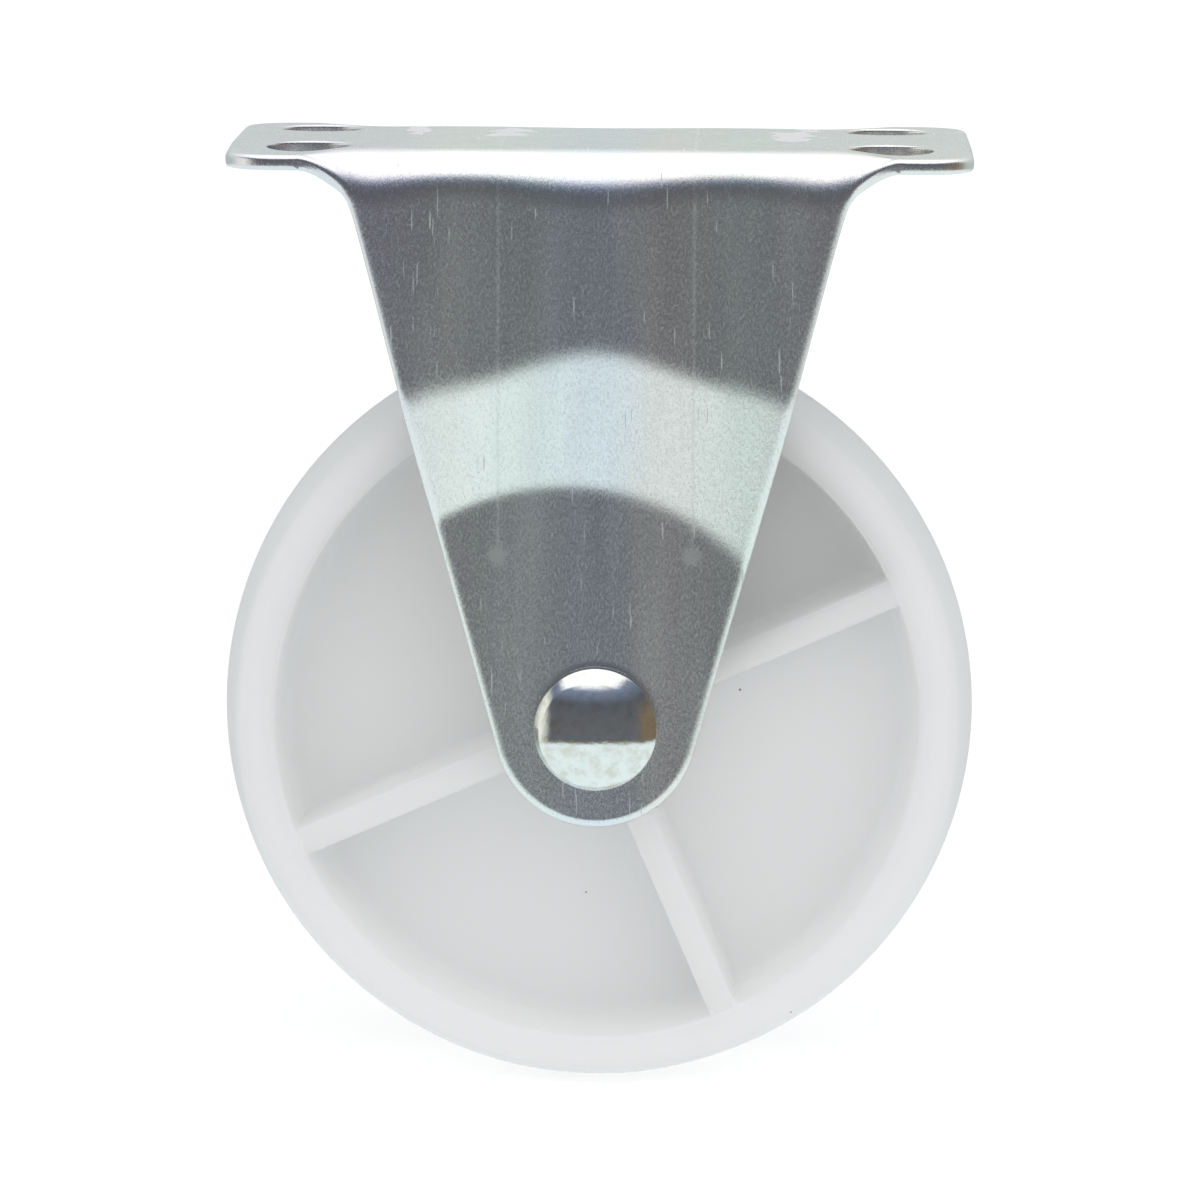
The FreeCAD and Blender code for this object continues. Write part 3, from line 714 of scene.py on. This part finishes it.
def rivetPlate():
    # Bright plated turned steel: far smoother than the sheet, slightly dented, with thin brown stains.
    material, tree, shader = newMaterial("brightPlatedTurnedSteel")
    place = addNode(tree, "ShaderNodeTexCoord").outputs["Object"]
    marks = addNode(tree, "ShaderNodeTexNoise", {"Vector": place, "Scale": 1000 / plating["stainMm"],
                                                 "Detail": 5.0, "Roughness": 0.6})
    stain = setRamp(addNode(tree, "ShaderNodeValToRGB", {"Fac": marks.outputs["Fac"]}),
                    [(level, hexToLinear(code)) for level, code in plating["stains"]])
    bump = addNode(tree, "ShaderNodeBump", {"Height": marks.outputs["Fac"], "Strength": 0.3,
                                            "Distance": plating["dentMm"] / 1000})
    tree.links.new(stain.outputs["Color"], shader.inputs["Base Color"])
    tree.links.new(bump.outputs["Normal"], shader.inputs["Normal"])
    shader.inputs["Metallic"].default_value = 1.0
    shader.inputs["Roughness"].default_value = plating["roughness"]
    return material


def sleeveSteel():
    # Drawn steel tube, dull and plain; only glimpsed between hub and leg.
    material, tree, shader = newMaterial("drawnSteelTube")
    shader.inputs["Base Color"].default_value = hexToLinear("#a3a6a8")
    shader.inputs["Metallic"].default_value = 1.0
    shader.inputs["Roughness"].default_value = 0.35
    return material


plastic = {
    "colour": "#f7f8f7",
    "speckColour": "#9c968b",
    "speckApartMm": 5.263,
    "speckSize": 0.026,      # share of the distance between specks
    "roughness": 0.38,
    "ior": 1.49,
    "glowMm": 12.0,          # how far light wanders under the skin
}


def wheelPlastic():
    # Injection-moulded natural white polypropylene: light sinks in so deep that the pockets glow softly,
    # the skin is satin and a few dust specks are caught in it.
    material, tree, shader = newMaterial("mouldedWhitePolypropylene")
    place = addNode(tree, "ShaderNodeTexCoord").outputs["Object"]
    cells = addNode(tree, "ShaderNodeTexVoronoi", {"Vector": place, "Scale": 1000 / plastic["speckApartMm"]})
    speck = addNode(tree, "ShaderNodeMath", {0: cells.outputs["Distance"], 1: plastic["speckSize"]},
                    operation="LESS_THAN")
    skin = addNode(tree, "ShaderNodeMix", {0: speck.outputs[0], 6: hexToLinear(plastic["colour"]),
                                           7: hexToLinear(plastic["speckColour"])}, data_type="RGBA")
    tree.links.new(skin.outputs[2], shader.inputs["Base Color"])
    shader.inputs["Roughness"].default_value = plastic["roughness"]
    shader.inputs["IOR"].default_value = plastic["ior"]
    shader.inputs["Subsurface Weight"].default_value = 1.0
    shader.inputs["Subsurface Radius"].default_value = (1.0, 1.0, 1.0)
    shader.inputs["Subsurface Scale"].default_value = plastic["glowMm"] / 1000
    return material


# Studio

studio = {
    "floorSize": 8.0,
    "ceiling": 1.5,          # how bright the world is that metal mirrors, against the white backdrop's 1
    "softLight": 0.53,
    "floorGlow": 0.3,        # lit from below, as on a light table
    "floorWhite": 0.3,       # what the camera sees on top of that
    "lampAngle": 85,
    "lampEnergy": 0.95,
    "lampTurn": (48, 0, 6),
    # degrees above the horizon and the colour there, on the camera's side and behind the castor
    "room": [(-18.5, "#d0dbdb"), (-15.5, "#5a5348"), (-10, "#565d66"), (-4, "#5a5a5d"), (30, "#4f5359"),
             (46, "#6f7a90"), (54, "#ffffff")],
    "wall": [(-18.5, "#d0dbdb"), (-12, "#9fa5a2"), (2, "#aab2b0"), (25, "#bec3c1"), (40, "#d8dbda"),
             (54, "#ffffff")],
    "tableEdge": (-18.5, -15.5),
    "rightSide": (0.8, 0.92, "#6e6150"),     # from and to this share of a direction's X
    "leftSide": (-0.78, -0.9, "#dadbd2"),
    "behind": (0.03, 0.4),                   # and of its Y
}


def heightStop(degrees):
    # place on a ramp that runs from straight down to straight up
    return (math.sin(math.radians(degrees)) + 1) / 2


def buildWorld():
    # Camera rays meet white. Mirrored rays meet a white ceiling above 54 deg and a pale table below
    # -18 deg. Between them the room is dim on the camera's side, brown far right and pale far left, and a
    # pale wall stands behind. Everything else is lit by even pale light.
    world = bpy.data.worlds.new("whiteStudio")
    bpy.context.scene.world = world
    world.use_nodes = True
    tree = world.node_tree
    tree.nodes.clear()
    direction = addNode(tree, "ShaderNodeTexCoord").outputs["Generated"]
    parts = addNode(tree, "ShaderNodeSeparateXYZ", {"Vector": direction})
    height = addNode(tree, "ShaderNodeMapRange", {"Value": parts.outputs["Z"], "From Min": -1.0,
                                                  "From Max": 1.0}).outputs["Result"]
    room, wall = (setRamp(addNode(tree, "ShaderNodeValToRGB", {"Fac": height}),
                          [(heightStop(degrees), hexToLinear(code)) for degrees, code in studio[side]])
                  for side in ("room", "wall"))
    edgeLow, edgeHigh = (heightStop(degrees) for degrees in studio["tableEdge"])
    aboveTable = addNode(tree, "ShaderNodeMapRange", {"Value": height, "From Min": edgeLow,
                                                      "From Max": edgeHigh}).outputs["Result"]
    seen = room.outputs["Color"]
    for start, end, code in (studio["rightSide"], studio["leftSide"]):
        beside = addNode(tree, "ShaderNodeMapRange", {"Value": parts.outputs["X"], "From Min": start,
                                                      "From Max": end, "To Max": aboveTable})
        seen = addNode(tree, "ShaderNodeMix", {0: beside.outputs["Result"], 6: seen, 7: hexToLinear(code)},
                       data_type="RGBA").outputs[2]
    start, end = studio["behind"]
    behind = addNode(tree, "ShaderNodeMapRange", {"Value": parts.outputs["Y"], "From Min": start,
                                                  "From Max": end})
    seen = addNode(tree, "ShaderNodeMix", {0: behind.outputs["Result"], 6: seen, 7: wall.outputs["Color"]},
                   data_type="RGBA").outputs[2]
    rays = addNode(tree, "ShaderNodeLightPath")
    soft = addNode(tree, "ShaderNodeBackground", {"Color": hexToLinear("#fbfdff"),
                                                  "Strength": studio["softLight"]})
    mirrored = addNode(tree, "ShaderNodeBackground", {"Color": seen, "Strength": studio["ceiling"]})
    white = addNode(tree, "ShaderNodeBackground", {"Color": (1, 1, 1, 1), "Strength": 1.0})
    glossyOrSoft = addNode(tree, "ShaderNodeMixShader", {0: rays.outputs["Is Glossy Ray"],
                                                         1: soft.outputs[0], 2: mirrored.outputs[0]})
    final = addNode(tree, "ShaderNodeMixShader", {0: rays.outputs["Is Camera Ray"],
                                                  1: glossyOrSoft.outputs[0], 2: white.outputs[0]})
    addNode(tree, "ShaderNodeOutputWorld", {"Surface": final.outputs[0]})


def buildFloor():
    # a large plain white table under the wheel, a little aglow so that it lights the wheel from below
    half = studio["floorSize"] / 2
    low = min(forkLow[2], wheelLow[2]) / 1000
    mesh = bpy.data.meshes.new("studioFloor")
    corners = [(-half, -half, low), (half, -half, low), (half, half, low), (-half, half, low)]
    mesh.from_pydata(corners, [], [(0, 1, 2, 3)])
    floor = bpy.data.objects.new("studioFloor", mesh)
    bpy.context.scene.collection.objects.link(floor)
    floor.visible_glossy = False
    material, tree, shader = newMaterial("mattWhiteTable")
    shader.inputs["Base Color"].default_value = hexToLinear("#d4d5d5")
    shader.inputs["Roughness"].default_value = 0.9
    shader.inputs["Specular IOR Level"].default_value = 0.0
    shader.inputs["Emission Color"].default_value = (1, 1, 1, 1)
    rays = addNode(tree, "ShaderNodeLightPath")
    direct = addNode(tree, "ShaderNodeMath", {0: rays.outputs["Is Camera Ray"],
                                              1: rays.outputs["Is Transmission Ray"]}, operation="MAXIMUM")
    glow = addNode(tree, "ShaderNodeMath", {0: direct.outputs[0], 1: studio["floorWhite"],
                                            2: studio["floorGlow"]}, operation="MULTIPLY_ADD")
    tree.links.new(glow.outputs[0], shader.inputs["Emission Strength"])
    mesh.materials.append(material)


def buildLamps():
    # a broad even light from above and in front; metal sees the world's white ceiling instead of it
    lamp = bpy.data.lights.new("overheadLight", "SUN")
    lamp.angle = math.radians(studio["lampAngle"])
    lamp.energy = studio["lampEnergy"]
    holder = bpy.data.objects.new("overheadLight", lamp)
    holder.rotation_euler = [math.radians(degrees) for degrees in studio["lampTurn"]]
    holder.location = (0, -0.2, 0.8)
    holder.visible_glossy = False
    bpy.context.scene.collection.objects.link(holder)


cameraView = {
    "place": (15.2, -763.1, 56.3),   # mm
    "yaw": -1.139,                   # degrees, to the left of +Y
    "pitch": -7.663,
    "roll": 0.335,
    "focalShare": 7677 / 1200,       # focal length over the frame's width
    "sensor": 36.0,
}


def buildCamera():
    data = bpy.data.cameras.new("photoCamera")
    data.sensor_width = cameraView["sensor"]
    data.lens = cameraView["focalShare"] * data.sensor_width
    data.clip_start, data.clip_end = 0.01, 50
    camera = bpy.data.objects.new("photoCamera", data)
    turn = (Matrix.Rotation(math.radians(-cameraView["yaw"]), 4, "Z")
            @ Matrix.Rotation(math.radians(90 + cameraView["pitch"]), 4, "X")
            @ Matrix.Rotation(math.radians(cameraView["roll"]), 4, "Z"))
    camera.matrix_world = Matrix.Translation(Vector(cameraView["place"]) / 1000) @ turn
    bpy.context.scene.collection.objects.link(camera)
    bpy.context.scene.camera = camera


def dress(piece, material):
    piece.data.materials.clear()
    piece.data.materials.append(material)


dress(makeFork(), zincPlate())
dress(makeWheel(), wheelPlastic())
dress(makeRivet(), rivetPlate())
for slot in frame["nodes"]["axle_sleeve"].material_slots:
    slot.material = sleeveSteel()
print("finishes applied")

buildWorld()
buildFloor()
buildLamps()
buildCamera()
bpy.context.scene.view_settings.view_transform = "Standard"
print("studio ready")
